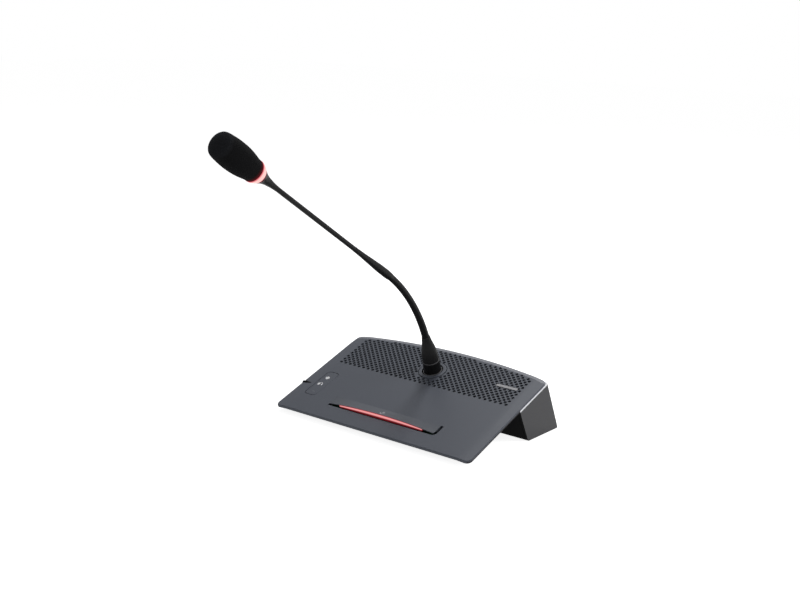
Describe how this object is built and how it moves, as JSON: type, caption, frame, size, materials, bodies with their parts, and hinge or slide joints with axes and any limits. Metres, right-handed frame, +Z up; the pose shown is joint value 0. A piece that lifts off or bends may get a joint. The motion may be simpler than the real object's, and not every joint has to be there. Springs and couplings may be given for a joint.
{
  "type": "conference delegate unit",
  "caption": "Desktop conference microphone unit with a sloping deck, grille, talk button, volume rocker, headphone socket and gooseneck microphone.",
  "frame": {"origin": "middle of the rear foot strip's underside, on the desk", "axes": "+X to the right of the person speaking, +Y away from that person, +Z up"},
  "size_m": [0.2208, 0.3439, 0.279],
  "materials": {
    "shell_grey": "fine satin texture",
    "cloth": "woven acoustic cloth",
    "silver": "bright anodised",
    "black_plastic": "satin",
    "steel": "plated",
    "board": "solder mask",
    "rubber": "matt",
    "cone_paper": "pressed paper",
    "brass": "turned",
    "black_metal": "black semi-matt coating",
    "cheek_grey": "fine matt texture",
    "red_lens": "translucent lens, lit red",
    "ring_lens": "translucent ring, lit pale red",
    "capsule_metal": "plain",
    "foam": "open-cell foam"
  },
  "bodies": {
    "base": {"top_cover": "shell_grey", "dust_screen": "cloth", "blank_badge": "silver", "front_tray": "black_plastic", "tray_screw_1": "steel", "tray_screw_2": "steel", "tray_screw_3": "steel", "tray_screw_4": "steel", "front_board": "board", "lamp_strip": "silver", "rocker_switch_1": "black_plastic", "rocker_switch_2": "black_plastic", "talk_switch": "black_plastic", "rocker_pin": "steel", "headphone_socket": "black_plastic", "speaker_gasket": "rubber", "speaker_frame": "black_plastic", "speaker_cone": "cone_paper", "speaker_magnet": "steel", "speaker_screw_1": "steel", "speaker_screw_2": "steel", "mount_ring": "shell_grey", "mount_nut": "brass", "collar_trim": "silver", "mount_collar": "black_metal", "boot_trim": "silver", "neck_stem": "steel", "neck_boot": "rubber", "base_pan": "black_plastic", "rear_cover": "cheek_grey", "front_foot_strip": "rubber", "rear_foot_strip": "rubber", "main_board": "board", "board_screw_1": "steel", "board_screw_2": "steel", "processor_chip": "black_plastic", "network_socket_1": "silver", "network_socket_2": "silver", "base_screw_1": "steel", "base_screw_2": "steel", "base_screw_3": "steel", "base_screw_4": "steel", "cover_screw_1": "steel", "cover_screw_2": "steel"},
    "talk_button": {"talk_button": "shell_grey", "light_bar": "red_lens"},
    "switch_plunger": {"switch_plunger": "black_plastic"},
    "volume_rocker": {"volume_rocker": "shell_grey"},
    "neck_1": {"neck_link_1": "black_metal"},
    "neck_2": {"neck_link_2": "black_metal"},
    "neck_3": {"neck_link_3": "black_metal"},
    "neck_4": {"neck_link_4": "black_metal"},
    "neck_5": {"neck_link_5": "black_metal"},
    "mic_head": {"neck_sleeve": "black_metal", "upper_tube": "black_metal", "head_holder": "black_plastic", "light_ring": "ring_lens", "mic_capsule": "capsule_metal", "windscreen": "foam"}
  },
  "joints": [
    {"name": "talk_press", "type": "hinge", "parent": "base", "child": "talk_button", "pos_m": [0, -0.09884, 0.01716], "axis": [1, 0, 0], "range_deg": [0, 3.2], "stiffness_Nm_per_rad": 0.3, "springref_deg": -2.86},
    {"name": "plunger_travel", "type": "slide", "parent": "base", "child": "switch_plunger", "axis": [0, 0.342, -0.9397], "range_m": [0, 0.00022]},
    {"name": "volume_rock", "type": "hinge", "parent": "base", "child": "volume_rocker", "pos_m": [-0.0888, -0.08685, 0.0186], "axis": [1, 0, 0], "range_deg": [-1.5, 1.5], "stiffness_Nm_per_rad": 0.3},
    {"name": "neck_pitch_1", "type": "hinge", "parent": "base", "child": "neck_1", "pos_m": [0, -0.04864, 0.0814], "axis": [1, 0, 0], "range_deg": [-26, 12]},
    {"name": "neck_side_1", "type": "hinge", "parent": "neck_1", "child": "neck_2", "pos_m": [0, -0.05647, 0.09488], "axis": [0, 0.8647, 0.5022], "range_deg": [-25, 25]},
    {"name": "neck_pitch_2", "type": "hinge", "parent": "neck_2", "child": "neck_3", "pos_m": [0, -0.06556, 0.10755], "axis": [1, 0, 0], "range_deg": [-26, 12]},
    {"name": "neck_side_2", "type": "hinge", "parent": "neck_3", "child": "neck_4", "pos_m": [0, -0.07582, 0.1193], "axis": [0, 0.7531, 0.6579], "range_deg": [-25, 25]},
    {"name": "neck_pitch_3", "type": "hinge", "parent": "neck_4", "child": "neck_5", "pos_m": [0, -0.08716, 0.13], "axis": [1, 0, 0], "range_deg": [-26, 12]},
    {"name": "neck_side_3", "type": "hinge", "parent": "neck_5", "child": "mic_head", "pos_m": [0, -0.09931, 0.13982], "axis": [0, 0.6283, 0.778], "range_deg": [-25, 25]}
  ],
  "couplings": [
    {"joint": "plunger_travel", "follows": "talk_press", "m_per_rad": 0.0036},
    {"joint": "neck_pitch_2", "follows": "neck_pitch_1", "ratio": 1},
    {"joint": "neck_pitch_3", "follows": "neck_pitch_1", "ratio": 1},
    {"joint": "neck_side_2", "follows": "neck_side_1", "ratio": 1},
    {"joint": "neck_side_3", "follows": "neck_side_1", "ratio": 1}
  ]
}
